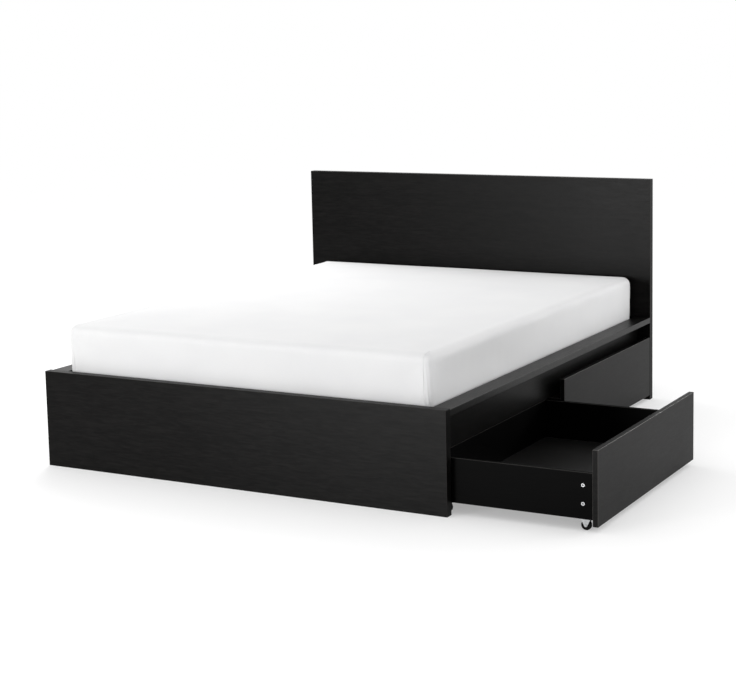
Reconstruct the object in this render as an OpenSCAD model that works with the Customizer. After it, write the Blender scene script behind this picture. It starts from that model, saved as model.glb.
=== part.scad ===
// Platform bed for a double mattress, with two long storage drawers that roll out on casters
// from under one side. The origin is on the floor at the middle of the bed, +Y points to the
// headboard and the drawers roll out towards +X. All sizes are millimetres.

/* [Mattress] */
// Width of the mattress
mattress_w = 1600; // [1400:10:1800]
// Length of the mattress
mattress_l = 2000; // [1900:10:2100]
// Height of the mattress top above the floor
mattress_top_z = 561; // [480:1:600]
// Radius of the mattress corners in plan
mattress_corner_r = 32; // [28:1:60]
// Size of the soft top edge
mattress_edge = 24; // [10:1:26]

/* [Boards] */
// Thickness of the headboard and the footboard
board_t = 34; // [28:1:40]
// Height of the headboard
headboard_h = 1000; // [700:10:1200]
// Height of the footboard
footboard_h = 380; // [378:1:450]

/* [Sides] */
// Height of the side ledge's top face
ledge_top_z = 376; // [370:1:377]
// Thickness of the side ledge
ledge_t = 24; // [18:1:26]
// Width from the mattress side to the outer edge of the ledge
side_w = 80; // [70:1:100]
// Thickness of the vertical side rail
rail_t = 18; // [16:1:20]
// Height of the rail's lower edge
rail_bottom_z = 210; // [207:1:215]

/* [Slats and midbeam] */
// Height of the slats' top face
slat_top_z = 330; // [326:1:332]
// Number of slats in each half of the base
slat_count = 16; // [12:1:18]
// Width of one slat
slat_w = 70; // [50:1:75]
// Thickness of one slat
slat_t = 15; // [12:1:18]
// Width of the outer midbeam tube
midbeam_w = 40; // [36:1:50]
// Height of the outer midbeam tube
midbeam_h = 30; // [25:1:35]

/* [Drawers] */
// How far the drawer at the foot end stands open
drawer_a_open = 544; // [0:1:624]
// How far the drawer at the head end stands open
drawer_b_open = 0; // [0:1:624]
// Height of the drawer front's lower edge
front_bottom_z = 21; // [15:1:24]
// Height of the drawer front's upper edge
front_top_z = 286; // [270:1:300]
// Thickness of the drawer front
front_t = 20; // [18:1:22]
// Depth of a drawer from the front's face to the back's face
drawer_depth = 623; // [560:1:680]
// Gap between the two closed drawer fronts
front_gap = 28; // [10:1:40]
// Height of the drawer box's lower edge
box_bottom_z = 44; // [43:1:46]
// Height of the drawer box's upper edge
box_top_z = 205; // [180:1:206]

/* [Casters] */
// Radius of a caster wheel
wheel_r = 18; // [16:0.5:19]
// Width of a caster wheel
wheel_w = 15; // [12:1:18]

/* [Hidden] */
$fn = 48;

// Frame
bay_l = mattress_l + 22;
bed_w = mattress_w + 2 * side_w;
rail_in_x = mattress_w / 2 + 3;
rail_out_x = rail_in_x + rail_t;
ledge_in_x = rail_in_x + 3;
ledge_bottom_z = ledge_top_z - ledge_t;
slat_bottom_z = slat_top_z - slat_t;
batten_w = 20;
batten_l = bay_l - 16;
batten_screws = 6;
slat_inner_x = 3;
slat_outer_x = rail_in_x - 5;
slat_pitch = (mattress_l - slat_w) / (slat_count - 1);
band_w = 25;
band_t = 1;
mattress_bottom_z = slat_top_z + band_t + 0.5;

// Corner brackets that join the rails to the boards
corner_leg = 45;
corner_t = 3;
corner_z = [225, 285];
corner_hole_offset = 27;
corner_hole_z = [240, 270];

// Fasteners: shank radius, head radius and head height
bolt = [4, 6.5, 5];
screw = [2.5, 5, 2.6];
small_screw = [1.8, 3.6, 1.6];
hole_play = 0.2;
bolt_l = 25;
screw_l = 16;
small_screw_l = 14;

// Midbeam
tube_wall = 1.5;
tube_play = 0.2;
inner_tube_w = midbeam_w - 2 * (tube_wall + tube_play);
inner_tube_h = midbeam_h - 2 * (tube_wall + tube_play);
midbeam_z = slat_bottom_z - midbeam_h;
inner_tube_z = midbeam_z + tube_wall + tube_play;
tube_end_y = bay_l / 2 - 8;
outer_tube_end_y = 120;
inner_tube_end_y = -60;
cradle_t = 2.5;
cradle_depth = 30;
cradle_wall_h = 18;
cradle_plate = [80, 44];
cradle_screw_x = 32;

// Centre leg
leg_r = 15;
leg_wall = 2;
leg_plate = 60;
leg_plate_t = 2;
leg_screw_y = 23;
foot_r = 20;
foot_h = 8;
foot_plug_h = 24;

// Drawer box, drawn closed and centred on y = 0
front_l = (bay_l - 6 - front_gap) / 2;
drawer_y = (front_l + front_gap) / 2;
front_face_x = bed_w / 2;
front_back_x = front_face_x - front_t;
panel_t = 15;
back_x = front_face_x - drawer_depth;
side_out_y = front_l / 2 - 2;
side_in_y = side_out_y - panel_t;
groove_z = 48;
bottom_t = 6;
groove_depth = 5;
brace_w = 44;
brace_t = 16;
cam_r = 6;
cam_depth = 12.5;
cam_inset = 35;
cam_z = [97, 161];
cam_bolt_r = 3.5;
cam_bolt_front = 12;
cam_y = side_out_y - panel_t / 2;
back_screw_z = [70, 125, 180];
back_screw_l = 50;

// Casters
caster_inset = 33;
caster_y = front_l / 2 - 30;
bracket_t = 2;
bracket_half = 18.5;
bracket_tip_r = 6;
cheek_gap = wheel_w + 1;
axle_r = 3;
axle_play = 0.05;
rivet_r = 4.5;
rivet_h = 1.2;
plate_y = [caster_y - cheek_gap / 2 - bracket_t, side_out_y];
caster_screw_x = 12;
caster_screw_y = side_out_y - 7.5;
caster_x = [front_back_x - caster_inset, back_x + panel_t + caster_inset];

// Colours
black_brown = [0.075, 0.068, 0.065];
panel_black = [0.06, 0.055, 0.052];
steel = [0.72, 0.73, 0.75];
pine = [0.80, 0.66, 0.47];
band_grey = [0.62, 0.62, 0.60];
cotton = [0.95, 0.95, 0.94];
wheel_black = [0.05, 0.05, 0.05];

// A box between two opposite corners
module block(low, high) {
    translate(low) cube(high - low);
}

// A fastener that points down -Z with its head above z = 0 and a hexagon socket in the head
module fastener(kind, length) {
    socket_r = kind[0] * 0.8;
    translate([0, 0, -length]) cylinder(r = kind[0], h = length);
    difference() {
        cylinder(r = kind[1], h = kind[2]);
        translate([0, 0, kind[2] / 2]) cylinder(r = socket_r, h = kind[2], $fn = 6);
    }
}

// The blind hole for such a fastener, from z = 0 down
module pilot_hole(kind, depth) {
    translate([0, 0, -depth]) cylinder(r = kind[0] + hole_play, h = depth + 1);
}

// Both ends or both sides of the bed
module both_ends() {
    children();
    mirror([0, 1, 0]) children();
}

module both_sides() {
    children();
    mirror([1, 0, 0]) children();
}

// Places of the bolts that hold the corner brackets to a board, on the head end
module at_corner_bolts() {
    for (z = corner_hole_z)
        both_sides()
            translate([rail_in_x - corner_hole_offset, bay_l / 2 - corner_t, z])
                rotate([90, 0, 0]) children();
}

// Places of the screws that hold one corner bracket to the right rail
module at_rail_screws() {
    for (z = corner_hole_z)
        translate([rail_in_x - corner_t, bay_l / 2 - corner_hole_offset, z])
            rotate([0, -90, 0]) children();
}

// Places of the screws that hold the right batten to its rail
module at_batten_screws() {
    for (i = [0 : batten_screws - 1])
        translate([
            rail_in_x - batten_w,
            (i / (batten_screws - 1) - 0.5) * (batten_l - 120),
            slat_bottom_z - batten_w / 2
        ])
            rotate([0, -90, 0]) children();
}

// Places of the screws in the midbeam cradle on the head end
module at_cradle_screws() {
    for (x = [-cradle_screw_x, cradle_screw_x])
        translate([x, bay_l / 2 - cradle_t, midbeam_z + midbeam_h / 2])
            rotate([90, 0, 0]) children();
}

// A board at the head end, with the holes for everything that is fastened to it
module end_board(height) {
    color(black_brown) difference() {
        block([-bed_w / 2, bay_l / 2, 0], [bed_w / 2, bay_l / 2 + board_t, height]);
        at_corner_bolts() pilot_hole(bolt, bolt_l + 1);
        at_cradle_screws() pilot_hole(screw, screw_l + 1);
    }
}

module headboard() {
    end_board(headboard_h);
}

module footboard() {
    mirror([0, 1, 0]) end_board(footboard_h);
}

module ledge() {
    color(black_brown)
        block([ledge_in_x, -bay_l / 2, ledge_bottom_z], [bed_w / 2, bay_l / 2, ledge_top_z]);
}

module rail() {
    color(black_brown) difference() {
        block([rail_in_x, -bay_l / 2, rail_bottom_z], [rail_out_x, bay_l / 2, ledge_bottom_z]);
        both_ends() at_rail_screws() pilot_hole(screw, screw_l + 0.5);
        at_batten_screws() pilot_hole(screw, 2 * screw_l + 1);
    }
}

module batten() {
    color(pine) difference() {
        block(
            [rail_in_x - batten_w, -batten_l / 2, slat_bottom_z - batten_w],
            [rail_in_x, batten_l / 2, slat_bottom_z]
        );
        at_batten_screws() pilot_hole(screw, 2 * screw_l + 1);
    }
}

// The angle bracket in the right-hand corner of the head end
module corner_bracket() {
    corner = [rail_in_x, bay_l / 2];
    difference() {
        linear_extrude(corner_z[1] - corner_z[0])
            polygon([
                corner,
                corner - [corner_leg, 0],
                corner - [corner_leg, corner_t],
                corner - [corner_t, corner_t],
                corner - [corner_t, corner_leg],
                corner - [0, corner_leg]
            ]);
        translate([0, 0, -corner_z[0]]) {
            at_corner_bolts() pilot_hole(bolt, bolt_l);
            at_rail_screws() pilot_hole(screw, screw_l);
        }
    }
}

module corner_brackets() {
    color(steel) both_ends() both_sides()
        translate([0, 0, corner_z[0]]) corner_bracket();
}

module corner_bolts() {
    color(steel) both_ends() at_corner_bolts() fastener(bolt, bolt_l);
}

module frame_screws() {
    color(steel) both_sides() {
        both_ends() at_rail_screws() fastener(screw, screw_l);
        at_batten_screws() fastener(screw, 2 * screw_l);
    }
}

// A rectangular steel tube along Y
module box_tube(width, height, y_low, y_high, z) {
    difference() {
        block([-width / 2, y_low, z], [width / 2, y_high, z + height]);
        block(
            [-width / 2 + tube_wall, y_low - 1, z + tube_wall],
            [width / 2 - tube_wall, y_high + 1, z + height - tube_wall]
        );
    }
}

module at_leg_screws() {
    for (y = [-leg_screw_y, leg_screw_y])
        translate([0, y, midbeam_z - leg_plate_t]) mirror([0, 0, 1]) children();
}

module midbeam_outer() {
    color(steel) difference() {
        box_tube(midbeam_w, midbeam_h, -tube_end_y, outer_tube_end_y, midbeam_z);
        at_leg_screws() pilot_hole(small_screw, tube_wall + leg_plate_t + 0.1);
    }
}

module midbeam_inner() {
    leg_screw_way = leg_plate_t + tube_wall + tube_play + tube_wall + 1;
    color(steel) difference() {
        box_tube(inner_tube_w, inner_tube_h, inner_tube_end_y, tube_end_y, inner_tube_z);
        at_leg_screws() pilot_hole(small_screw, leg_screw_way);
    }
}

// Plate and cradle that carry one end of the midbeam
module midbeam_cradle(tube_w, tube_z) {
    wall_x = tube_w / 2 + tube_play;
    plate_z = midbeam_z + midbeam_h / 2 - cradle_plate[1] / 2;
    y_back = bay_l / 2;
    difference() {
        block(
            [-cradle_plate[0] / 2, y_back - cradle_t, plate_z],
            [cradle_plate[0] / 2, y_back, plate_z + cradle_plate[1]]
        );
        at_cradle_screws() pilot_hole(screw, screw_l);
    }
    block(
        [-wall_x - cradle_t, y_back - cradle_depth, tube_z - cradle_t],
        [wall_x + cradle_t, y_back - cradle_t, tube_z]
    );
    both_sides() block(
        [wall_x, y_back - cradle_depth, tube_z - cradle_t],
        [wall_x + cradle_t, y_back - cradle_t, tube_z + cradle_wall_h]
    );
}

module midbeam_cradles() {
    color(steel) {
        midbeam_cradle(inner_tube_w, inner_tube_z);
        mirror([0, 1, 0]) midbeam_cradle(midbeam_w, midbeam_z);
    }
}

module midbeam_screws() {
    color(steel) {
        both_ends() at_cradle_screws() fastener(screw, screw_l);
        at_leg_screws() fastener(small_screw, leg_plate_t + tube_wall + 2);
    }
}

module centre_leg() {
    plate_z = midbeam_z - leg_plate_t;
    color(steel) difference() {
        union() {
            translate([0, 0, foot_h]) cylinder(r = leg_r, h = plate_z - foot_h);
            block([-leg_plate / 2, -leg_plate / 2, plate_z], [leg_plate / 2, leg_plate / 2, midbeam_z]);
        }
        translate([0, 0, foot_h - 1]) cylinder(r = leg_r - leg_wall, h = plate_z - foot_h + 1);
        at_leg_screws() pilot_hole(small_screw, leg_plate_t + 1);
    }
}

module centre_foot() {
    color(wheel_black) {
        cylinder(r = foot_r, h = foot_h);
        translate([0, 0, foot_h]) cylinder(r = leg_r - leg_wall - hole_play, h = foot_plug_h);
    }
}

module slats() {
    color(pine)
        for (i = [0 : slat_count - 1])
            translate([slat_inner_x, -mattress_l / 2 + i * slat_pitch, slat_bottom_z])
                cube([slat_outer_x - slat_inner_x, slat_w, slat_t]);
}

module slat_bands() {
    color(band_grey) both_sides()
        for (x = [0.18, 0.82])
            translate([x * slat_outer_x, 0, slat_top_z])
                block([-band_w / 2, -mattress_l / 2, 0], [band_w / 2, mattress_l / 2, band_t]);
}

// Four posts at the corners of the mattress
module mattress_posts(r, z_low, z_high) {
    for (x = [-1, 1])
        for (y = [-1, 1])
            translate([
                x * (mattress_w / 2 - mattress_corner_r),
                y * (mattress_l / 2 - mattress_corner_r),
                z_low
            ])
                cylinder(r = r, h = z_high - z_low, $fn = 32);
}

module mattress() {
    color(cotton) hull() {
        mattress_posts(mattress_corner_r, mattress_bottom_z, mattress_top_z - mattress_edge);
        mattress_posts(mattress_corner_r - mattress_edge, mattress_bottom_z, mattress_top_z);
    }
}

// Places of the cam locks, on the outer faces of the side panels
module at_cams() {
    for (z = cam_z)
        both_ends()
            translate([front_back_x - cam_inset, -side_out_y, z])
                rotate([90, 0, 0]) children();
}

// Places of the cam bolts, where each leaves the back face of the front
module at_cam_bolts() {
    for (z = cam_z)
        both_ends()
            translate([front_back_x, -cam_y, z]) rotate([0, -90, 0]) children();
}

// Places of the sunk screws that hold the sides to the back
module at_back_screws() {
    for (z = back_screw_z)
        both_ends()
            translate([back_x + panel_t / 2, screw[2] - side_out_y, z])
                rotate([90, 0, 0]) children();
}

module at_caster_screws() {
    for (x = caster_x)
        for (dx = [-caster_screw_x, caster_screw_x])
            both_ends()
                translate([x + dx, -caster_screw_y, box_bottom_z - bracket_t])
                    mirror([0, 0, 1]) children();
}

module bottom_groove() {
    block(
        [back_x - 1, -side_in_y - groove_depth, groove_z],
        [front_back_x + groove_depth, side_in_y + groove_depth, groove_z + bottom_t]
    );
}

module drawer_front() {
    color(black_brown) difference() {
        block(
            [front_back_x, -front_l / 2, front_bottom_z],
            [front_face_x, front_l / 2, front_top_z]
        );
        bottom_groove();
        at_cam_bolts() translate([0, 0, -cam_bolt_front])
            cylinder(r = cam_bolt_r + hole_play, h = cam_bolt_front + 1);
    }
}

module drawer_side_left() {
    color(panel_black) difference() {
        block([back_x, -side_out_y, box_bottom_z], [front_back_x, -side_in_y, box_top_z]);
        bottom_groove();
        at_cams() pilot_hole([cam_r, 0, 0], cam_depth);
        at_cam_bolts() translate([0, 0, -1])
            cylinder(r = cam_bolt_r + hole_play, h = cam_inset + 1);
        at_back_screws() {
            pilot_hole(screw, panel_t + 1);
            cylinder(r = screw[1] + hole_play, h = 2 * screw[2]);
        }
        at_caster_screws() pilot_hole(small_screw, small_screw_l + 1);
    }
}

module drawer_side_right() {
    mirror([0, 1, 0]) drawer_side_left();
}

module drawer_back() {
    color(panel_black) difference() {
        block(
            [back_x, -side_in_y, groove_z + bottom_t],
            [back_x + panel_t, side_in_y, box_top_z]
        );
        at_back_screws() pilot_hole(screw, back_screw_l + 1);
    }
}

// One half of the drawer's bottom, on the left
module drawer_bottom_left() {
    color(panel_black)
        block(
            [back_x, -side_in_y - groove_depth, groove_z],
            [front_back_x + groove_depth, 0, groove_z + bottom_t]
        );
}

module drawer_bottom_right() {
    mirror([0, 1, 0]) drawer_bottom_left();
}

// The brace under the joint between the two halves of the bottom
module drawer_brace() {
    color(panel_black)
        block(
            [back_x, -brace_w / 2, groove_z - brace_t],
            [front_back_x, brace_w / 2, groove_z]
        );
}

// Cam locks, each with a round recess and a cross slot for the screwdriver
module cam_locks() {
    slot_half_w = 1.2;
    slot_depth = 4;
    slot_reach = cam_r * 0.7;
    recess_r = 3;
    recess_depth = 10;
    color(steel) at_cams() difference() {
        translate([0, 0, -cam_depth]) cylinder(r = cam_r, h = cam_depth);
        translate([0, 0, -recess_depth]) cylinder(r = recess_r, h = recess_depth + 1);
        for (a = [0, 90])
            rotate([0, 0, a])
                block([-slot_reach, -slot_half_w, -slot_depth], [slot_reach, slot_half_w, 1]);
    }
}

module cam_bolts() {
    reach = cam_inset - cam_r - 0.5;
    color(steel) at_cam_bolts() translate([0, 0, -cam_bolt_front])
        cylinder(r = cam_bolt_r, h = cam_bolt_front + reach);
}

module drawer_screws() {
    color(steel) {
        at_back_screws() fastener(screw, back_screw_l);
        at_caster_screws() fastener(small_screw, small_screw_l);
    }
}

// Outline of a bracket cheek, seen along Y: a triangle that closes round the axle
module cheek_outline() {
    top = box_bottom_z - bracket_t - wheel_r;
    reach = sqrt(top * top + bracket_half * bracket_half);
    tangent_a = atan2(top, bracket_half) - acos(bracket_tip_r / reach);
    tip = bracket_tip_r * [cos(tangent_a), sin(tangent_a)];
    polygon([[-bracket_half, top], [-tip[0], tip[1]], tip, [bracket_half, top]]);
    circle(r = bracket_tip_r);
}

// One cheek, standing on the axle at y = 0 and reaching up to the plate
module cheek(y) {
    translate([0, y + bracket_t, wheel_r]) rotate([90, 0, 0])
        linear_extrude(bracket_t) difference() {
            cheek_outline();
            circle(r = axle_r + hole_play / 2);
        }
}

// Bracket of one caster on the left side of the drawer
module caster_bracket() {
    cheek(-caster_y - cheek_gap / 2 - bracket_t);
    cheek(-caster_y + cheek_gap / 2);
    difference() {
        block(
            [-bracket_half, -plate_y[1], box_bottom_z - bracket_t],
            [bracket_half, -plate_y[0], box_bottom_z]
        );
        for (dx = [-caster_screw_x, caster_screw_x])
            translate([dx, -caster_screw_y, box_bottom_z - bracket_t])
                cylinder(r = small_screw[0] + hole_play, h = 3 * bracket_t, center = true);
    }
}

module caster_brackets() {
    color(steel)
        for (x = caster_x)
            both_ends() translate([x, 0, 0]) caster_bracket();
}

// Riveted axle of one caster on the left side of the drawer
module caster_axle() {
    half_l = cheek_gap / 2 + bracket_t;
    translate([0, -caster_y, wheel_r]) rotate([90, 0, 0]) {
        cylinder(r = axle_r, h = 2 * half_l, center = true);
        for (side = [-1, 1])
            translate([0, 0, side * (half_l + rivet_h / 2)])
                cylinder(r = rivet_r, h = rivet_h, center = true);
    }
}

module caster_axles() {
    color(steel)
        for (x = caster_x)
            both_ends() translate([x, 0, 0]) caster_axle();
}

// A wheel on the left side of the drawer, with a rounded tread and a hub
module wheel(x) {
    half_w = wheel_w / 2;
    tread_r = 3;
    rim_r = wheel_r - 5;
    hub_r = axle_r + 3.5;
    recess = 2;
    color(wheel_black) translate([x, -caster_y, wheel_r]) rotate([90, 0, 0])
        rotate_extrude() {
            translate([axle_r + axle_play, -half_w]) square([hub_r - axle_r - axle_play, wheel_w]);
            translate([hub_r - 1, -half_w + recess])
                square([rim_r - hub_r + 2, wheel_w - 2 * recess]);
            translate([rim_r, -half_w]) square([wheel_r - tread_r - rim_r, wheel_w]);
            translate([rim_r, -half_w + tread_r])
                square([wheel_r - rim_r, wheel_w - 2 * tread_r]);
            for (side = [-1, 1])
                translate([wheel_r - tread_r, side * (half_w - tread_r)]) circle(r = tread_r);
        }
}

module wheel_front_left() {
    wheel(caster_x[0]);
}

module wheel_front_right() {
    mirror([0, 1, 0]) wheel_front_left();
}

module wheel_rear_left() {
    wheel(caster_x[1]);
}

module wheel_rear_right() {
    mirror([0, 1, 0]) wheel_rear_left();
}

// Drawer places: a is at the foot end, b is at the head end
module drawer_a() {
    translate([drawer_a_open, -drawer_y, 0]) children();
}

module drawer_b() {
    translate([drawer_b_open, drawer_y, 0]) children();
}

headboard();
footboard();
ledge();  // ledge_right
mirror([1, 0, 0]) ledge();  // ledge_left
rail();  // rail_right
mirror([1, 0, 0]) rail();  // rail_left
batten();  // batten_right
mirror([1, 0, 0]) batten();  // batten_left
corner_brackets();
corner_bolts();
frame_screws();
midbeam_outer();
midbeam_inner();
midbeam_cradles();
midbeam_screws();
centre_leg();
centre_foot();
slats();  // slats_right
mirror([1, 0, 0]) slats();  // slats_left
slat_bands();
mattress();
drawer_a() drawer_front();  // drawer_a_front
drawer_a() drawer_side_left();  // drawer_a_side_left
drawer_a() drawer_side_right();  // drawer_a_side_right
drawer_a() drawer_back();  // drawer_a_back
drawer_a() drawer_bottom_left();  // drawer_a_bottom_left
drawer_a() drawer_bottom_right();  // drawer_a_bottom_right
drawer_a() drawer_brace();  // drawer_a_brace
drawer_a() cam_locks();  // drawer_a_cam_locks
drawer_a() cam_bolts();  // drawer_a_cam_bolts
drawer_a() drawer_screws();  // drawer_a_screws
drawer_a() caster_brackets();  // drawer_a_caster_brackets
drawer_a() caster_axles();  // drawer_a_caster_axles
drawer_a() wheel_front_left();  // drawer_a_wheel_front_left
drawer_a() wheel_front_right();  // drawer_a_wheel_front_right
drawer_a() wheel_rear_left();  // drawer_a_wheel_rear_left
drawer_a() wheel_rear_right();  // drawer_a_wheel_rear_right
drawer_b() drawer_front();  // drawer_b_front
drawer_b() drawer_side_left();  // drawer_b_side_left
drawer_b() drawer_side_right();  // drawer_b_side_right
drawer_b() drawer_back();  // drawer_b_back
drawer_b() drawer_bottom_left();  // drawer_b_bottom_left
drawer_b() drawer_bottom_right();  // drawer_b_bottom_right
drawer_b() drawer_brace();  // drawer_b_brace
drawer_b() cam_locks();  // drawer_b_cam_locks
drawer_b() cam_bolts();  // drawer_b_cam_bolts
drawer_b() drawer_screws();  // drawer_b_screws
drawer_b() caster_brackets();  // drawer_b_caster_brackets
drawer_b() caster_axles();  // drawer_b_caster_axles
drawer_b() wheel_front_left();  // drawer_b_wheel_front_left
drawer_b() wheel_front_right();  // drawer_b_wheel_front_right
drawer_b() wheel_rear_left();  // drawer_b_wheel_rear_left
drawer_b() wheel_rear_right();  // drawer_b_wheel_rear_right
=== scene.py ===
"""Looks of a platform bed with storage drawers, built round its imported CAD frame."""

import math

import bmesh
import bpy
import numpy as np
from mathutils import Euler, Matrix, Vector, noise
from mathutils.bvhtree import BVHTree


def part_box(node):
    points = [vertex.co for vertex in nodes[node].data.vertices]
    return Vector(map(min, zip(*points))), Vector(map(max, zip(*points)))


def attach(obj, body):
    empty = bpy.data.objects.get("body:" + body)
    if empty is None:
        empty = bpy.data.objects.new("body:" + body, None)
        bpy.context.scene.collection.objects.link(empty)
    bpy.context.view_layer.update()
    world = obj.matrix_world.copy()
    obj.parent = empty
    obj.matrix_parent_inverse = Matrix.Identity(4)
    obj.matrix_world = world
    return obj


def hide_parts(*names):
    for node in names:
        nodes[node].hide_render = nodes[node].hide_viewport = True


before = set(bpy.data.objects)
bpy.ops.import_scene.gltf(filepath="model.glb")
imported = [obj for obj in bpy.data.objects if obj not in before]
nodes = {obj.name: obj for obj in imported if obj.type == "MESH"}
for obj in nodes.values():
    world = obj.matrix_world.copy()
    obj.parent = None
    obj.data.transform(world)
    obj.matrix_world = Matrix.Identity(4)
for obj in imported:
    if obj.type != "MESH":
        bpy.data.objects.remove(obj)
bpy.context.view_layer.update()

MM = 0.001


def add_object(name, data):
    made = bpy.data.objects.new(name, data)
    bpy.context.scene.collection.objects.link(made)
    return made


# ---------------------------------------------------------------- node graph helpers


class Graph:
    """A material's node tree, with short calls for the nodes that the looks below use."""

    def __init__(self, name):
        self.material = bpy.data.materials.new(name)
        self.material.use_nodes = True
        self.tree = self.material.node_tree
        self.tree.nodes.clear()
        self.shader = self.node("ShaderNodeBsdfPrincipled")
        output = self.node("ShaderNodeOutputMaterial")
        self.link(self.shader.outputs["BSDF"], output.inputs["Surface"])

    def node(self, kind, **settings):
        made = self.tree.nodes.new(kind)
        for key, value in settings.items():
            setattr(made, key, value)
        return made

    def link(self, source, target):
        self.tree.links.new(source, target)

    def set(self, **values):
        """Values that are the same all over the surface, on the shader's own sockets."""
        for key, value in values.items():
            self.shader.inputs[key.replace("_", " ")].default_value = value

    def stretched(self, scale, turn=(0, 0, 0)):
        """Object coordinates, scaled per axis in features per metre."""
        place = self.node("ShaderNodeTexCoord")
        mapping = self.node("ShaderNodeMapping")
        mapping.inputs["Scale"].default_value = scale
        mapping.inputs["Rotation"].default_value = turn
        self.link(place.outputs["Object"], mapping.inputs["Vector"])
        return mapping.outputs["Vector"]

    def noise(self, vector, detail=3.0, rough=0.55, distortion=0.0):
        made = self.node("ShaderNodeTexNoise")
        made.inputs["Scale"].default_value = 1.0
        made.inputs["Detail"].default_value = detail
        made.inputs["Roughness"].default_value = rough
        made.inputs["Distortion"].default_value = distortion
        self.link(vector, made.inputs["Vector"])
        return made.outputs["Fac"]

    def ramp(self, value, low, high):
        """value from low to high, as 0 to 1."""
        made = self.node("ShaderNodeMapRange")
        made.inputs["From Min"].default_value = low
        made.inputs["From Max"].default_value = high
        self.link(value, made.inputs["Value"])
        return made.outputs["Result"]

    def spread(self, value, low, high):
        """A value from 0 to 1, as low to high."""
        made = self.node("ShaderNodeMapRange")
        made.inputs["To Min"].default_value = low
        made.inputs["To Max"].default_value = high
        self.link(value, made.inputs["Value"])
        return made.outputs["Result"]

    def math(self, operation, first, second=0.0):
        """One step of arithmetic between two numbers or sockets."""
        made = self.node("ShaderNodeMath", operation=operation)
        for socket, value in zip(made.inputs, (first, second)):
            if isinstance(value, (int, float)):
                socket.default_value = value
            else:
                self.link(value, socket)
        return made.outputs["Value"]

    def mix(self, share, first, second):
        """A colour between two, which are tuples or sockets."""
        made = self.node("ShaderNodeMix", data_type="RGBA")
        self.link(share, made.inputs["Factor"])
        for socket, value in zip((made.inputs[6], made.inputs[7]), (first, second)):
            if isinstance(value, tuple):
                socket.default_value = (*value, 1.0)
            else:
                self.link(value, socket)
        return made.outputs[2]

    def bump(self, height, distance, strength=1.0):
        made = self.node("ShaderNodeBump")
        made.inputs["Distance"].default_value = distance
        made.inputs["Strength"].default_value = strength
        self.link(height, made.inputs["Height"])
        self.link(made.outputs["Normal"], self.shader.inputs["Normal"])

    def arris(self):
        """1 where two faces meet, 0 on the faces, from the direction of the surface."""
        place = self.node("ShaderNodeTexCoord")
        parts = self.node("ShaderNodeSeparateXYZ")
        self.link(place.outputs["Normal"], parts.inputs["Vector"])
        x, y, z = [self.math("ABSOLUTE", parts.outputs[i]) for i in "XYZ"]
        facing = self.math("MAXIMUM", x, self.math("MAXIMUM", y, z))
        return self.ramp(self.math("SUBTRACT", 1.0, facing), *ARRIS_TURN)

    def colour(self, value):
        self.link(value, self.shader.inputs["Base Color"])

    def roughness(self, value):
        self.link(value, self.shader.inputs["Roughness"])


def along(axis, length, across):
    """Scale for a texture whose marks run along one axis, in marks per metre."""
    return tuple(length if i == "XYZ".index(axis) else across for i in range(3))


def even(scale):
    """Scale for a texture that is the same in all directions, in marks per metre."""
    return (scale, scale, scale)


# ---------------------------------------------------------------- materials


# Where an arris starts and ends, as how far the surface turns away from the nearest axis
ARRIS_TURN = (0.02, 0.16)
# Colour laid on the arrises: partly rubbed wear, mostly a painted highlight along the edges
ARRIS_WEAR_AND_HIGHLIGHT = (0.11, 0.105, 0.10)
ARRIS_POLISH = 0.15

# Marks per metre along and across the grain
FIGURE = (4.5, 38.0)
FIBRE = (17.0, 150.0)
PORES = (22.0, 950.0)
FIGURE_SHARE = 0.4
PORE_DEPTH = 0.05 * MM
PORE_SHADE = 0.35
HAND_MARKS = 2.3


def veneer(name, axis, tones, sheen, specular, wear_and_highlight):
    """Stained open-pored veneer with its grain along one axis, its arrises lightened by rubbed
    wear and a painted highlight.
    """
    g = Graph(name)
    dark, light = tones
    figure = g.noise(g.stretched(along(axis, *FIGURE)), 3.0, 0.6, 1.6)
    fibre = g.noise(g.stretched(along(axis, *FIBRE)), 4.0, 0.6, 0.8)
    pore = g.ramp(g.noise(g.stretched(along(axis, *PORES)), 2.0, 0.5), 0.56, 0.68)
    wide = g.math("MULTIPLY", figure, FIGURE_SHARE)
    narrow = g.math("MULTIPLY", fibre, 1 - FIGURE_SHARE)
    body = g.mix(g.ramp(g.math("ADD", wide, narrow), 0.42, 0.64), dark, light)
    shade = tuple(PORE_SHADE * c for c in dark)
    body = g.mix(g.math("MULTIPLY", pore, 0.75), body, shade)
    # Painted highlight along the arrises, with some rubbed wear; the same mask also smooths them
    rubbed_and_highlit = g.math("MULTIPLY", g.arris(), wear_and_highlight)
    g.colour(g.mix(rubbed_and_highlit, body, ARRIS_WEAR_AND_HIGHLIGHT))
    smear = g.noise(g.stretched(even(HAND_MARKS)), 3.0)
    gloss = g.math("ADD", g.math("MULTIPLY", smear, 0.35), g.math("MULTIPLY", fibre, 0.65))
    satin = g.spread(g.ramp(gloss, 0.3, 0.7), *sheen)
    g.roughness(g.math("SUBTRACT", satin, g.math("MULTIPLY", rubbed_and_highlit, ARRIS_POLISH)))
    g.bump(g.math("SUBTRACT", g.math("MULTIPLY", fibre, 0.5), pore), PORE_DEPTH, 0.8)
    g.set(Specular_IOR_Level=specular)
    return g.material


EMBOSSING = (7.0, 320.0)
EMBOSSING_DEPTH = 0.05 * MM
FOIL_PRINT = (2.3, 2.15, 2.05)
FOIL_CLOUDS = 3.0
# How strongly the foil's arrises are lightened: a painted highlight with some rubbed wear
FOIL_WEAR_AND_HIGHLIGHT = 0.6


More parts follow.
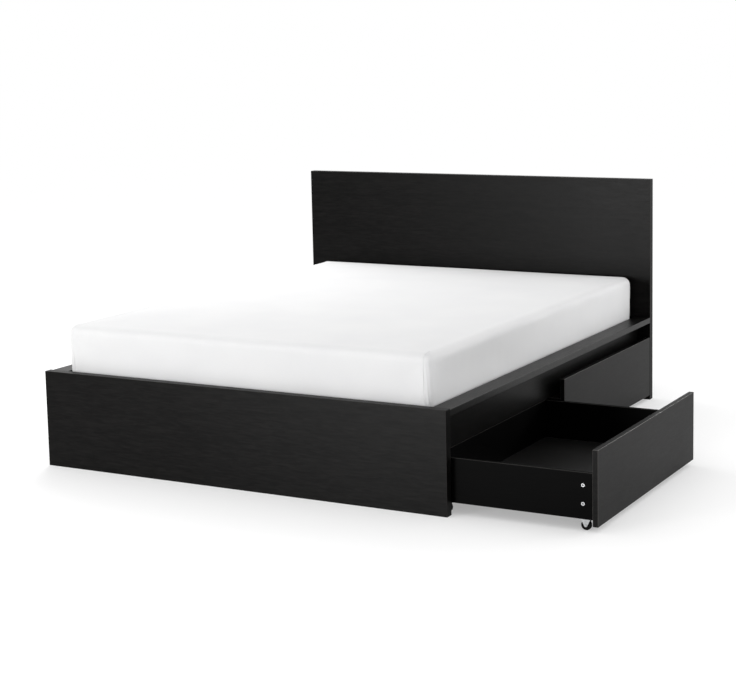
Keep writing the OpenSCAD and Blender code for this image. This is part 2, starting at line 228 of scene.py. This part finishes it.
def foil(name, axis, tone, specular):
    """Printed black foil with a faint embossed grain, on the drawer panels."""
    g = Graph(name)
    fibre = g.noise(g.stretched(along(axis, *EMBOSSING)), 3.0, 0.6)
    cloud = g.noise(g.stretched(even(FOIL_CLOUDS)), 4.0)
    light = tuple(tone * c for c in FOIL_PRINT)
    body = g.mix(g.ramp(fibre, 0.35, 0.7), (tone, tone, tone), light)
    # Arrises lightened: painted highlight with some rubbed wear
    g.colour(g.mix(g.math("MULTIPLY", g.arris(), FOIL_WEAR_AND_HIGHLIGHT), body, ARRIS_WEAR_AND_HIGHLIGHT))
    g.roughness(g.spread(g.ramp(cloud, 0.3, 0.7), 0.36, 0.5))
    g.bump(fibre, EMBOSSING_DEPTH, 0.7)
    g.set(Specular_IOR_Level=specular)
    return g.material


PINE_RINGS = (1.6, 55.0)
PINE_FIBRE = (9.0, 420.0)
PINE_KNOTS = (2.4, 8.0)
PINE_SLATS = (9.0, 0.05)
PINE_EARLY = (0.66, 0.46, 0.26)
PINE_LATE = (0.47, 0.28, 0.13)
PINE_FIBRE_TONE = (0.36, 0.21, 0.10)
PINE_KNOT_TONE = (0.20, 0.10, 0.045)
PINE_PALE = (0.78, 0.60, 0.38)
PINE_RELIEF = 0.15 * MM


def pine(name, axis):
    """Planed pine, with growth rings, knots and a different tone on each slat."""
    g = Graph(name)
    other = "Y" if axis == "X" else "X"
    rings = g.noise(g.stretched(along(axis, *PINE_RINGS)), 5.0, 0.6, 1.6)
    fibre = g.noise(g.stretched(along(axis, *PINE_FIBRE)), 3.0, 0.6)
    slat = g.noise(g.stretched(along(other, *PINE_SLATS)), 0.0)
    body = g.mix(g.ramp(rings, 0.35, 0.72), PINE_EARLY, PINE_LATE)
    body = g.mix(g.math("MULTIPLY", g.ramp(fibre, 0.45, 0.8), 0.35), body, PINE_FIBRE_TONE)
    knots = g.node("ShaderNodeTexVoronoi", distance="EUCLIDEAN")
    knots.inputs["Scale"].default_value = 1.0
    g.link(g.stretched(along(axis, *PINE_KNOTS)), knots.inputs["Vector"])
    body = g.mix(g.ramp(knots.outputs["Distance"], 0.14, 0.05), body, PINE_KNOT_TONE)
    g.colour(g.mix(g.math("MULTIPLY", g.ramp(slat, 0.35, 0.65), 0.3), body, PINE_PALE))
    g.roughness(g.spread(fibre, 0.5, 0.75))
    g.bump(g.math("ADD", fibre, g.math("MULTIPLY", rings, 0.4)), PINE_RELIEF, 0.6)
    return g.material


ZINC_BLOTCHES = 90.0
SCRATCHES = (2200.0, 160.0, 160.0)
SCRATCH_TURN = (0.3, 0.2, 0.9)
SCRATCH_DEPTH = 0.02 * MM


def zinc(name, dark, light):
    """Zinc-plated pressed steel, faintly blotched and scratched."""
    g = Graph(name)
    blotch = g.noise(g.stretched(even(ZINC_BLOTCHES)), 4.0, 0.6)
    scratch = g.noise(g.stretched(SCRATCHES, SCRATCH_TURN), 2.0, 0.5)
    g.colour(g.mix(g.ramp(blotch, 0.3, 0.7), dark, light))
    g.roughness(g.spread(g.math("MULTIPLY", g.math("ADD", blotch, scratch), 0.5), 0.26, 0.5))
    g.bump(scratch, SCRATCH_DEPTH, 0.5)
    g.set(Metallic=1.0)
    return g.material


NYLON_GRIT = 2600.0
NYLON_DUST = 45.0
NYLON_TONES = ((0.002, 0.002, 0.002), (0.008, 0.008, 0.007))
NYLON_RELIEF = 0.03 * MM


def moulded(name):
    """Black moulded nylon with a fine spark-eroded texture."""
    g = Graph(name)
    grit = g.noise(g.stretched(even(NYLON_GRIT)), 2.0)
    dust = g.noise(g.stretched(even(NYLON_DUST)), 4.0)
    g.colour(g.mix(g.ramp(dust, 0.45, 0.8), *NYLON_TONES))
    g.roughness(g.spread(grit, 0.35, 0.6))
    g.bump(grit, NYLON_RELIEF, 0.6)
    g.set(Specular_IOR_Level=0.03)
    return g.material


WARP_PER_M = 190.0
WEFT_PER_M = 150.0
TAPE_GREY_AND_WEAVE_SHADE = ((0.30, 0.30, 0.29), (0.52, 0.52, 0.50))
TAPE_RELIEF = 0.2 * MM


def webbing(name):
    """Grey polyester tape with a visible weave."""
    g = Graph(name)
    warp = g.node("ShaderNodeTexWave", wave_type="BANDS", bands_direction="X")
    weft = g.node("ShaderNodeTexWave", wave_type="BANDS", bands_direction="Y")
    for weave, scale in ((warp, WARP_PER_M), (weft, WEFT_PER_M)):
        weave.inputs["Scale"].default_value = scale
        weave.inputs["Distortion"].default_value = 0.4
        g.link(g.stretched(even(1.0)), weave.inputs["Vector"])
    cloth = g.math("MULTIPLY", warp.outputs["Fac"], weft.outputs["Fac"])
    # The tape's grey, darker in the hollows of the weave: painted shade
    g.colour(g.mix(cloth, *TAPE_GREY_AND_WEAVE_SHADE))
    g.roughness(g.spread(cloth, 0.95, 0.75))
    g.bump(cloth, TAPE_RELIEF, 0.7)
    return g.material


# Threads per metre across, and lengths along and through the cloth
WARP_THREADS = (1500.0, 90.0, 500.0)
WEFT_THREADS = (90.0, 1500.0, 500.0)
SHEET_CLOUDS = 3.5
SHEET_CREASES = (14.0, 9.0, 14.0)
COTTON_TONES = ((0.645, 0.645, 0.65), (0.675, 0.675, 0.675))
PAINTED_WEAVE_SHADE = (0.58, 0.58, 0.59)
SHEET_RELIEF = 0.5 * MM


def cotton(name):
    """White cotton sheet: fine crossed threads, a soft sheen and slight unevenness."""
    g = Graph(name)
    warp = g.noise(g.stretched(WARP_THREADS), 2.0)
    weft = g.noise(g.stretched(WEFT_THREADS), 2.0)
    threads = g.math("ADD", g.math("MULTIPLY", warp, 0.5), g.math("MULTIPLY", weft, 0.5))
    cloud = g.noise(g.stretched(even(SHEET_CLOUDS)), 3.0)
    crease = g.noise(g.stretched(SHEET_CREASES), 4.0, 0.5, 0.6)
    body = g.mix(g.ramp(cloud, 0.3, 0.7), *COTTON_TONES)
    # Painted shade in the hollows between the threads, where the weave sits lowest
    g.colour(g.mix(g.math("MULTIPLY", g.ramp(threads, 0.6, 0.35), 0.2), body, PAINTED_WEAVE_SHADE))
    g.roughness(g.spread(threads, 0.78, 0.95))
    height = g.math("ADD", g.math("MULTIPLY", threads, 0.18), g.math("MULTIPLY", crease, 2.0))
    g.bump(height, SHEET_RELIEF, 0.5)
    g.set(Sheen_Weight=0.15, Sheen_Roughness=0.4, Specular_IOR_Level=0.25)
    return g.material


BLACK_BROWN = ((0.0018, 0.0017, 0.0016), (0.0055, 0.0051, 0.0048))


SATIN = (0.32, 0.42)
ZINC_BRIGHT = ((0.25, 0.252, 0.258), (0.34, 0.342, 0.348))
ZINC_DULL = ((0.13, 0.132, 0.135), (0.20, 0.202, 0.205))


def board(name, axis, specular, wear_and_highlight):
    """A veneered board; specular is its gloss, and wear_and_highlight is how strongly its arrises
    are lightened, by rubbed wear and a painted highlight.
    """
    return veneer(name, axis, BLACK_BROWN, SATIN, specular, wear_and_highlight)


LOOKS = {
    # The last number is how strongly the arrises get the painted highlight and rubbed wear
    "headboard": board("black_brown_headboard", "X", 0.038, 0.35),
    "footboard": board("black_brown_footboard", "X", 0.054, 0.35),
    "rail": board("black_brown_rail", "Y", 0.056, 0.0),
    "ledge": board("black_brown_ledge", "Y", 0.115, 0.05),
    "front": board("black_brown_front", "Y", 0.048, 1.0),
    "panel_x": foil("black_foil_x", "X", 0.0005, 0.015),
    "panel_y": foil("black_foil_y", "Y", 0.0005, 0.015),
    "bottom": foil("black_foil_bottom", "X", 0.004, 0.2),
    "pine_x": pine("pine_x", "X"),
    "pine_y": pine("pine_y", "Y"),
    "zinc": zinc("zinc_plate", *ZINC_BRIGHT),
    "caster": zinc("caster_plate", *ZINC_DULL),
    "moulded": moulded("black_nylon"),
    "webbing": webbing("grey_webbing"),
    "cotton": cotton("white_cotton"),
}

# What each look is for, by the end of a node's name; all other nodes are zinc
WORN_BY = {
    "headboard": ("headboard",),
    "footboard": ("footboard",),
    "ledge": ("ledge_right", "ledge_left"),
    "rail": ("rail_right", "rail_left"),
    "front": ("_front",),
    "panel_x": ("_side_left", "_side_right", "_brace"),
    "panel_y": ("_back",),
    "bottom": ("_bottom_left", "_bottom_right"),
    "pine_x": ("slats_right", "slats_left"),
    "pine_y": ("batten_right", "batten_left"),
    "webbing": ("slat_bands",),
    "caster": ("_caster_brackets", "_caster_axles"),
    "moulded": (
        "centre_foot",
        "_wheel_front_left", "_wheel_front_right", "_wheel_rear_left", "_wheel_rear_right",
    ),
}
SOFTENED = ("board", "ledge_right", "ledge_left", "_back", "_side_left", "_side_right")
BOARD_ARRIS = 1.0 * MM
FRONT_ARRIS = 1.5 * MM
SAME_PLACE = 0.01 * MM
SAME_PLANE = math.radians(1)


def dress(name, piece):
    """Gives a CAD node its material."""
    looks = [look for look, endings in WORN_BY.items() if name.endswith(endings)]
    piece.data.materials.clear()
    piece.data.materials.append(LOOKS[looks[0] if looks else "zinc"])


def outer_edge_points(mesh):
    """The numbers of the points that lie on the edges of a mesh's box."""
    points = [vertex.co for vertex in mesh.vertices]
    low = Vector(map(min, zip(*points)))
    high = Vector(map(max, zip(*points)))
    reached = [
        sum(min(point[k] - low[k], high[k] - point[k]) < SAME_PLACE for k in range(3))
        for point in points
    ]
    return [i for i, faces in enumerate(reached) if faces >= 2]


def soften(piece, width):
    """Rounds the outer arrises of a board slightly, so that they catch the light."""
    group = piece.vertex_groups.new(name="arris")
    group.add(outer_edge_points(piece.data), 1.0, "REPLACE")
    weld = piece.modifiers.new("weld", "WELD")
    weld.merge_threshold = SAME_PLACE
    flat = piece.modifiers.new("flat", "DECIMATE")
    flat.decimate_type = "DISSOLVE"
    flat.angle_limit = SAME_PLANE
    bevel = piece.modifiers.new("arris", "BEVEL")
    bevel.width = width
    bevel.segments = 2
    bevel.limit_method = "VGROUP"
    bevel.vertex_group = "arris"
    bevel.use_clamp_overlap = False
    bevel.harden_normals = True


for node_name, node in nodes.items():
    dress(node_name, node)
    if node_name.endswith("_front"):
        soften(node, FRONT_ARRIS)
    elif node_name.endswith(SOFTENED):
        soften(node, BOARD_ARRIS)

# ---------------------------------------------------------------- mattress

COVER_R = 42 * MM
COVER_ROUNDNESS = 2.7
COVER_ROOM = 1 * MM
FINE_MARGIN = 60 * MM
FINE_STEP = 5 * MM
COARSE_STEP = 22 * MM


def graded(low, high):
    """Grid lines from low to high, close together near both ends."""
    fine = np.arange(0.0, FINE_MARGIN, FINE_STEP)
    middle = max(2, round((high - low - 2 * FINE_MARGIN) / COARSE_STEP))
    coarse = np.linspace(low + FINE_MARGIN, high - FINE_MARGIN, middle + 1)
    return np.concatenate([low + fine, coarse, (high - fine)[::-1]])


def block_quads(counts):
    """The lattice points at the corners of each quad on the outside of a block."""
    for axis in range(3):
        first, second = (axis + 1) % 3, (axis + 2) % 3
        for end in (0, counts[axis] - 1):
            for i in range(counts[first] - 1):
                for j in range(counts[second] - 1):
                    quad = []
                    for di, dj in ((0, 0), (1, 0), (1, 1), (0, 1)):
                        point = [0, 0, 0]
                        point[axis], point[first], point[second] = end, i + di, j + dj
                        quad.append(tuple(point))
                    yield quad if end else quad[::-1]


def rounded_block(name, low, high, radius):
    """A closed block of quads with round edges and corners, finest along its edges."""
    low, high = np.array(low), np.array(high)
    lines = [graded(low[i], high[i]) for i in range(3)]
    number, faces = {}, []
    for quad in block_quads([len(line) for line in lines]):
        faces.append([number.setdefault(point, len(number)) for point in quad])
    square = np.array([[lines[i][point[i]] for i in range(3)] for point in number])
    core = np.clip(square, low + radius, high - radius)
    out = square - core
    reach = (np.abs(out) ** COVER_ROUNDNESS).sum(axis=1, keepdims=True) ** (1 / COVER_ROUNDNESS)
    rounded = core + radius * out / reach
    mesh = bpy.data.meshes.new(name)
    mesh.from_pydata(rounded.tolist(), [], faces)
    mesh.shade_smooth()
    return add_object(name, mesh)


def read_vectors(items, attribute):
    """One vector of each of a mesh's points, as rows."""
    values = np.zeros(len(items) * 3)
    items.foreach_get(attribute, values)
    return values.reshape(-1, 3)


def write_points(mesh, points):
    mesh.vertices.foreach_set("co", points.ravel())
    mesh.update()


def smooth_step(value):
    value = np.clip(value, 0.0, 1.0)
    return value * value * (3 - 2 * value)


CLOTH_STIFFNESS = 25
CLOTH_BENDING = 4
CLOTH_MASS = 0.3
CLOTH_QUALITY = 4
CLOTH_PRESSURE = 4.0
CLOTH_FRAMES = 20
SWELL_CAP = 8 * MM
SWELL_FROM_EDGE = 110 * MM
TINY = 1e-9


def add_cloth(piece):
    """A cloth that is blown up, with no gravity."""
    cloth = piece.modifiers.new("cover", "CLOTH")
    settings = cloth.settings
    settings.quality = CLOTH_QUALITY
    settings.mass = CLOTH_MASS
    settings.tension_stiffness = CLOTH_STIFFNESS
    settings.compression_stiffness = CLOTH_STIFFNESS
    settings.bending_stiffness = CLOTH_BENDING
    settings.use_pressure = True
    settings.uniform_pressure_force = CLOTH_PRESSURE
    settings.effector_weights.gravity = 0
    cloth.collision_settings.use_collision = False


def swell(piece):
    """Inflates the cover by simulation, up to a cap, and less towards its edges."""
    before = read_vectors(piece.data.vertices, "co")
    add_cloth(piece)
    scene = bpy.context.scene
    for step in range(1, CLOTH_FRAMES + 1):
        scene.frame_set(step)
    swollen = piece.evaluated_get(bpy.context.evaluated_depsgraph_get()).data
    move = read_vectors(swollen.vertices, "co") - before
    piece.modifiers.clear()
    scene.frame_set(1)
    length = np.linalg.norm(move, axis=1, keepdims=True)
    move *= SWELL_CAP * (1 - np.exp(-length / SWELL_CAP)) / np.maximum(length, TINY)
    to_faces = np.concatenate([before - before.min(axis=0), before.max(axis=0) - before], axis=1)
    to_edge = np.sort(to_faces, axis=1)[:, 1:2]
    write_points(piece.data, before + move * smooth_step(to_edge / SWELL_FROM_EDGE))


GATHER_PITCH = 17 * MM
GATHER_LEAN = 30 * MM
GATHER_SPREAD = 55 * MM
GATHER_HEIGHT = 80 * MM
GATHER_DEPTH = 3 * MM


def gathers(from_corner, height):
    """Small upright folds at the corners, deepest at the hem."""
    fold = np.cos(from_corner * 2 * math.pi / GATHER_PITCH + height / GATHER_LEAN)
    near = np.exp(-((from_corner / GATHER_SPREAD) ** 2)) * np.exp(-height / GATHER_HEIGHT)
    return fold * near * GATHER_DEPTH


PULL_PITCH = 46 * MM
PULL_SLOPE = 0.6
PULL_SPREAD = 170 * MM
PULL_HEIGHT = 150 * MM
PULL_DEPTH = 1.1 * MM


def pulls(from_corner, height):
    """Slanting lines of tension that fan out from the corners."""
    away = np.abs(from_corner)
    fold = np.sin((away - PULL_SLOPE * height) * 2 * math.pi / PULL_PITCH)
    return fold * np.exp(-away / PULL_SPREAD) * np.exp(-height / PULL_HEIGHT) * PULL_DEPTH


# Waves per metre along X, Y and Z, seed and depth of the slack in the cloth
SIDE_SLACK = (((7.0, 7.0, 12.0), 3.0, 2.2 * MM), ((22.0, 22.0, 9.0), 8.0, 0.9 * MM))
TOP_SLACK = (((2.2, 2.6, 1.0), 5.0, 2.5 * MM),)


def slack(points, waves):
    """Smooth unevenness of the cloth at each point."""
    total = np.zeros(len(points))
    for scale, seed, depth in waves:
        start = Vector((seed, 0, 0))
        total += depth * np.array([noise.noise(Vector(point * scale) + start) for point in points])
    return total


TUCK_DEPTH = 7 * MM
TUCK_HEIGHT = 28 * MM
UPRIGHT_SHARE = 1.6


def pull_on_cover(piece, low, high):
    """Hem tucked under, gathers and pulls at the corners, and slack in the cloth."""
    points = read_vectors(piece.data.vertices, "co")
    normals = read_vectors(piece.data.vertex_normals, "vector")
    half = (np.array(high) - np.array(low)) / 2
    middle = (np.array(high) + np.array(low)) / 2
    inside = half[:2] - np.abs(points[:, :2] - middle[:2])
    from_corner = inside[:, 1] - inside[:, 0]
    height = points[:, 2] - low.z
    side = gathers(from_corner, height) + pulls(from_corner, height)
    side += slack(points, SIDE_SLACK) - TUCK_DEPTH * np.exp(-height / TUCK_HEIGHT)
    upright = 1 - smooth_step(np.abs(normals[:, 2]) * UPRIGHT_SHARE)
    on_top = (1 - upright) * (normals[:, 2] > 0)
    shift = upright * side + on_top * slack(points, TOP_SLACK)
    write_points(piece.data, points + normals * shift[:, None])


LEDGE_CLEARANCE = 2 * MM
OVERHANG = 8 * MM
OVERHANG_HEIGHT = 25 * MM


def keep_clear(piece, bottom):
    """Keeps the cover off the ledges and the boards, and flat on what it lies on."""
    points = read_vectors(piece.data.vertices, "co")
    ledge_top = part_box("ledge_right")[1].z
    above = smooth_step((points[:, 2] - ledge_top) / OVERHANG_HEIGHT)
    rail_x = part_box("rail_right")[0].x - LEDGE_CLEARANCE
    limit = rail_x + above * OVERHANG
    points[:, 0] = np.clip(points[:, 0], -limit, limit)
    board_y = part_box("headboard")[0].y - LEDGE_CLEARANCE
    points[:, 1] = np.clip(points[:, 1], -board_y, board_y)
    points[:, 2] = np.maximum(points[:, 2], bottom)
    write_points(piece.data, points)


SEAM_INSET = 30 * MM
SEAM_OVER_TOP = 14 * MM
SEAM_HEM = 6 * MM
SEAM_ROWS_UP = 24
SEAM_ROWS_OVER = 10
SEAM_START = 0.2
# Across the seam and out of the cover, in millimetres
SEAM_SECTION = ((-2.8, -0.6), (-1.6, 0.9), (0.0, 0.3), (1.6, 0.9), (2.8, -0.6))


def seam_route(surface, x, end, low, high):
    """Points and outward normals up the front or back of the cover and over its top edge."""
    route = []
    for z in np.linspace(low.z + SEAM_HEM, high.z - COVER_R, SEAM_ROWS_UP):
        route.append((Vector((x, end * (high.y + SEAM_START), z)), Vector((0, -end, 0))))
    core = Vector((x, end * (high.y - COVER_R), high.z - COVER_R))
    for angle in np.linspace(0, math.pi / 2, SEAM_ROWS_OVER)[1:]:
        out = Vector((0, end * math.cos(angle), math.sin(angle)))
        route.append((core + out * SEAM_START, -out))
    last = route[-1][0] - Vector((0, end * SEAM_OVER_TOP, 0))
    route.append((last, Vector((0, 0, -1))))
    hits = [surface.ray_cast(start, direction) for start, direction in route]
    return [(hit[0], hit[1]) for hit in hits if hit[0]]


def ribbon(name, route):
    """A closed strip with the seam's section along a route."""
    bm = bmesh.new()
    rows = []
    for place, normal in route:
        row = [place + Vector((w * MM, 0, 0)) + normal * h * MM for w, h in SEAM_SECTION]
        rows.append([bm.verts.new(point) for point in row])
    for lower, upper in zip(rows, rows[1:]):
        for k in range(len(SEAM_SECTION) - 1):
            bm.faces.new((lower[k], lower[k + 1], upper[k + 1], upper[k]))
        bm.faces.new((lower[0], upper[0], upper[-1], lower[-1]))
    for row in (rows[0], rows[-1]):
        bm.faces.new(row)
    bmesh.ops.recalc_face_normals(bm, faces=bm.faces)
    mesh = bpy.data.meshes.new(name)
    bm.to_mesh(mesh)
    bm.free()
    mesh.shade_smooth()
    return mesh


def seam(name, route):
    """One felled seam at a corner of the cover: a flat ridge with a stitched groove."""
    made = add_object(name, ribbon(name, route))
    made.data.materials.append(LOOKS["cotton"])
    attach(made, "root")


def seams(surface, low, high):
    """The four seams, one at each corner."""
    for end, end_name in ((-1, "foot"), (1, "head")):
        for side, side_name in ((-1, "left"), (1, "right")):
            seam_x = side * (high.x + COVER_ROOM - SEAM_INSET)
            route = seam_route(surface, seam_x, end, low, high)
            seam(f"cover_seam_{end_name}_{side_name}", route)


def mattress():
    """The padded cover that stands for the mattress, with its seams."""
    low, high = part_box("mattress")
    room = Vector((COVER_ROOM, COVER_ROOM, 0.0))
    start_low, start_high = low + room, high - room
    made = rounded_block("mattress_cover", start_low, start_high, COVER_R)
    swell(made)
    pull_on_cover(made, start_low, start_high)
    keep_clear(made, low.z)
    made.data.materials.append(LOOKS["cotton"])
    fine = made.modifiers.new("fine", "SUBSURF")
    fine.levels = fine.render_levels = 1
    surface = BVHTree.FromObject(made, bpy.context.evaluated_depsgraph_get())
    seams(surface, start_low, start_high)
    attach(made, "root")
    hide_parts("mattress")


mattress()

# ---------------------------------------------------------------- floor, light and camera


FLOOR_HALF = 40.0
FLOOR_TONE = (0.66, 0.66, 0.66, 1.0)
FLOOR_GLOW = 0.34


def floor():
    """A plain pale floor that glows faintly, as if lit through."""
    half = FLOOR_HALF
    corners = [(-half, -half, 0), (half, -half, 0), (half, half, 0), (-half, half, 0)]
    mesh = bpy.data.meshes.new("floor")
    mesh.from_pydata(corners, [], [(0, 1, 2, 3)])
    made = add_object("floor", mesh)
    g = Graph("floor")
    g.set(Base_Color=FLOOR_TONE, Roughness=0.9, Specular_IOR_Level=0.0)
    g.set(Emission_Color=(1.0, 1.0, 1.0, 1.0), Emission_Strength=FLOOR_GLOW)
    mesh.materials.append(g.material)


def softbox(name, place, aim, size, power, only_gloss=False):
    """A large rectangular light at one point, facing another."""
    data = bpy.data.lights.new(name, "AREA")
    data.shape = "RECTANGLE"
    data.size, data.size_y = size
    data.energy = power
    made = add_object(name, data)
    made.location = place
    made.visible_camera = False
    made.visible_diffuse = not only_gloss
    made.rotation_euler = (Vector(aim) - Vector(place)).to_track_quat("-Z", "Y").to_euler()


def surroundings(strength):
    """A plain white surround, as bright in every direction."""
    world = bpy.data.worlds.new("studio")
    world.use_nodes = True
    background = world.node_tree.nodes["Background"]
    background.inputs["Color"].default_value = (1.0, 1.0, 1.0, 1.0)
    background.inputs["Strength"].default_value = strength
    bpy.context.scene.world = world


def camera(place, azimuth, pitch, roll, focal_share, shift):
    """A camera by its place, its direction in degrees and its focal length in frame widths."""
    data = bpy.data.cameras.new("camera")
    data.sensor_fit = "HORIZONTAL"
    data.sensor_width = 36.0
    data.lens = focal_share * data.sensor_width
    data.shift_x, data.shift_y = shift
    data.clip_end = 200.0
    made = add_object("camera", data)
    made.location = place
    turn = Euler((math.radians(90 + pitch), 0.0, math.radians(azimuth)), "XYZ").to_matrix()
    tilt = Euler((0.0, 0.0, math.radians(roll)), "XYZ").to_matrix()
    made.rotation_euler = (turn @ tilt).to_euler()
    bpy.context.scene.camera = made


floor()
surroundings(1.0)
softbox("left", (-1.7, 0.8, 2.2), (-0.35, 0.6, 0.56), (1.2, 1.2), 35)
softbox("front", (-2.4, -6.6, 1.1), (0.0, 0.0, 0.5), (1.6, 1.6), 140)
softbox("right", (4.6, 2.6, 1.2), (0.9, 0.6, 0.4), (1.6, 1.6), 50)
softbox("card", (-1.0, -6.4, 0.7), (0.6, 1.0, 0.7), (1.4, 0.8), 500, only_gloss=True)
softbox("glint", (2.9, 4.0, 1.7), (1.3, -0.5, 0.3), (0.7, 0.7), 50, only_gloss=True)
camera(
    place=(3.4426, -6.1280, 1.6757), azimuth=28.576, pitch=-7.993, roll=-1.161,
    focal_share=2.2975, shift=(-0.03, -0.11),
)
bpy.context.scene.view_settings.view_transform = "Standard"
